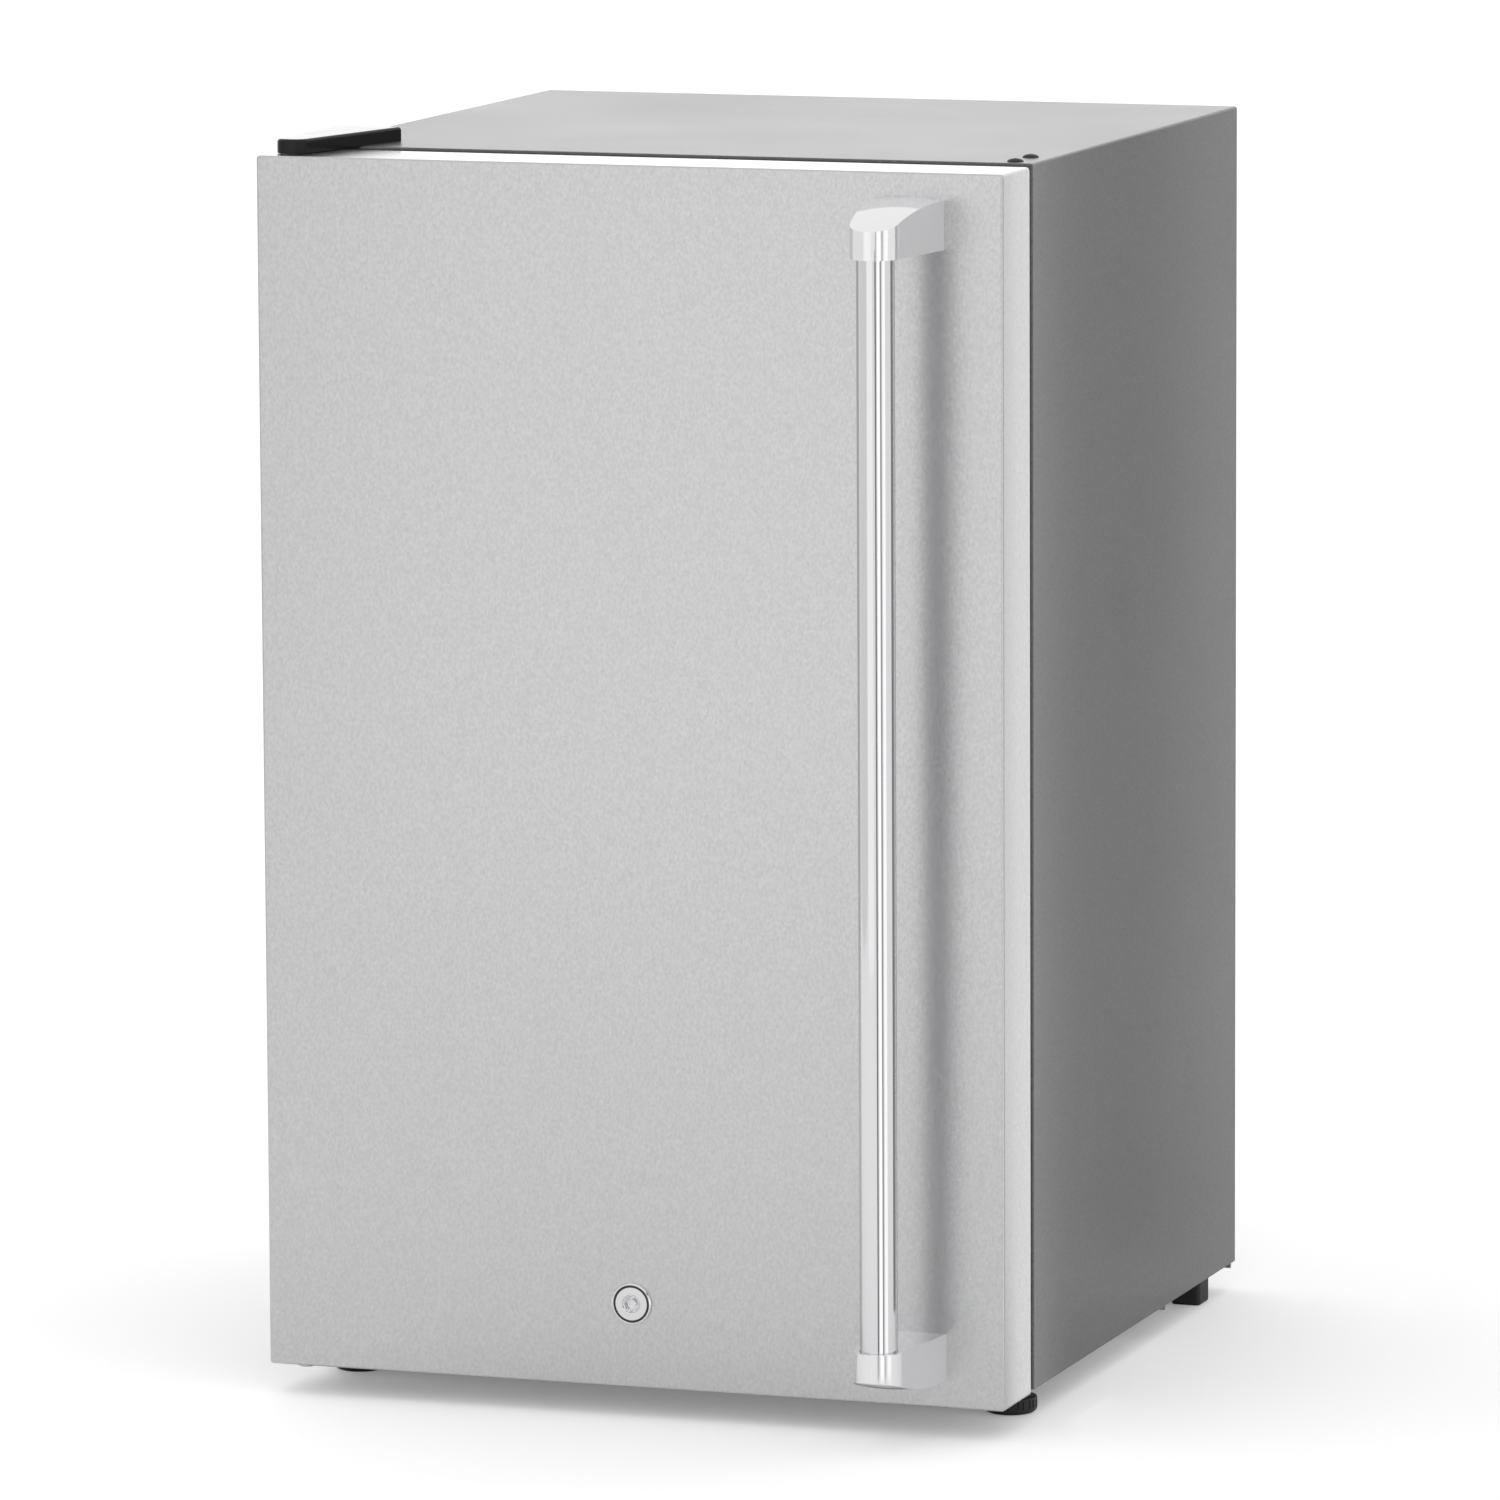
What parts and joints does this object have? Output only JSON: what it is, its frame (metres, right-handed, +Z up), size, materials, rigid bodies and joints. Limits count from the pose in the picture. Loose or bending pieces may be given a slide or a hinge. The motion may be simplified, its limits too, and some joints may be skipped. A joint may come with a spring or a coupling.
{
  "type": "undercounter refrigerator",
  "caption": "Compact undercounter refrigerator with a stainless lockable door, tubular pull handle, dark painted cabinet, glass shelves and rear cooling machine.",
  "frame": {"origin": "centre of the bounding box's bottom, on the floor under the feet", "axes": "+Z up, +X to the right seen from the front, +Y from the door to the back"},
  "size_m": [0.52, 0.6284, 0.8465],
  "materials": {
    "cabinet_paint": "dark grey fine-textured powder coat",
    "stainless": "fine brushed stainless sheet",
    "polished": "polished bright metal",
    "zinc_steel": "zinc-plated steel",
    "black_gloss": "glossy moulded black",
    "black_matte": "moulded black",
    "rubber_black": "soft black rubber",
    "white_plastic": "satin white moulding",
    "foam": "closed-cell foam",
    "black_enamel": "glossy black enamel",
    "copper": "drawn copper tube",
    "aluminium_sheet": "plain sheet",
    "shelf_glass": "clear tempered glass",
    "lens": "frosted lens",
    "circuit": "circuit board",
    "magnet": "bonded magnet strip"
  },
  "bodies": {
    "cabinet": {"outer_shell": "cabinet_paint", "back_panel": "cabinet_paint", "front_rail": "cabinet_paint", "bottom_pan": "zinc_steel", "cabinet_foam": "foam", "inner_liner": "white_plastic", "shelf_ledges": "white_plastic", "evaporator_plate": "aluminium_sheet", "compressor": "black_enamel", "compressor_grommets": "rubber_black", "start_relay": "black_matte", "base_plate": "zinc_steel", "rear_feet": "black_matte", "foot_inserts": "zinc_steel", "condenser_tube": "black_enamel", "condenser_wires": "black_enamel", "condenser_clips": "black_matte", "filter_drier": "copper", "refrigerant_lines": "copper", "drip_tray": "white_plastic", "drain_tube": "white_plastic", "cord_gland": "rubber_black", "top_hinge_plate": "zinc_steel", "top_hinge_pin": "zinc_steel", "top_hinge_screws": "zinc_steel", "hinge_cover": "black_gloss", "bottom_hinge_plate": "zinc_steel", "bottom_hinge_pin": "zinc_steel", "bottom_hinge_screws": "zinc_steel", "hole_plugs": "rubber_black", "lock_keeper": "zinc_steel", "shelf_glass": "shelf_glass", "shelf_trims": "white_plastic", "control_housing": "white_plastic", "thermostat": "aluminium_sheet", "lamp_lens": "lens", "led_board": "circuit"},
    "door": {"door_skin": "stainless", "door_foam": "foam", "door_liner": "white_plastic", "door_gasket": "rubber_black", "gasket_magnets": "magnet", "hinge_bushes": "white_plastic", "door_bin_top": "white_plastic", "door_bin_middle": "white_plastic", "door_bin_bottom": "white_plastic", "handle_tube": "polished", "handle_bracket_top": "polished", "handle_bracket_bottom": "polished", "handle_plates": "zinc_steel", "handle_screws": "zinc_steel", "lock_body": "polished", "lock_nut": "zinc_steel"},
    "lock_core": {"lock_cylinder": "polished", "lock_cam": "zinc_steel"},
    "knob": {"thermostat_knob": "white_plastic"},
    "rocker": {"light_switch": "white_plastic"},
    "left_foot": {"front_foot_left": "black_matte"},
    "right_foot": {"front_foot_right": "black_matte"}
  },
  "joints": [
    {"name": "door_swing", "type": "hinge", "parent": "cabinet", "child": "door", "pos_m": [-0.243, -0.20775, 0.4285], "axis": [0, 0, -1], "range_deg": [0, 120]},
    {"name": "lock_turn", "type": "hinge", "parent": "door", "child": "lock_core", "pos_m": [0, -0.23175, 0.0775], "axis": [0, 1, 0], "range_deg": [0, 90]},
    {"name": "thermostat_knob_turn", "type": "hinge", "parent": "cabinet", "child": "knob", "pos_m": [0.1795, 0.07825, 0.744], "axis": [-1, 0, 0], "range_deg": [0, 270]},
    {"name": "light_switch_rock", "type": "hinge", "parent": "cabinet", "child": "rocker", "pos_m": [0.1825, 0.03325, 0.744], "axis": [0, 1, 0], "range_deg": [-16, 0]},
    {"name": "left_foot_turn", "type": "hinge", "parent": "cabinet", "child": "left_foot", "pos_m": [-0.2325, -0.13375, 0.01], "axis": [0, 0, 1], "continuous": true},
    {"name": "right_foot_turn", "type": "hinge", "parent": "cabinet", "child": "right_foot", "pos_m": [0.2325, -0.13375, 0.01], "axis": [0, 0, 1], "continuous": true}
  ]
}
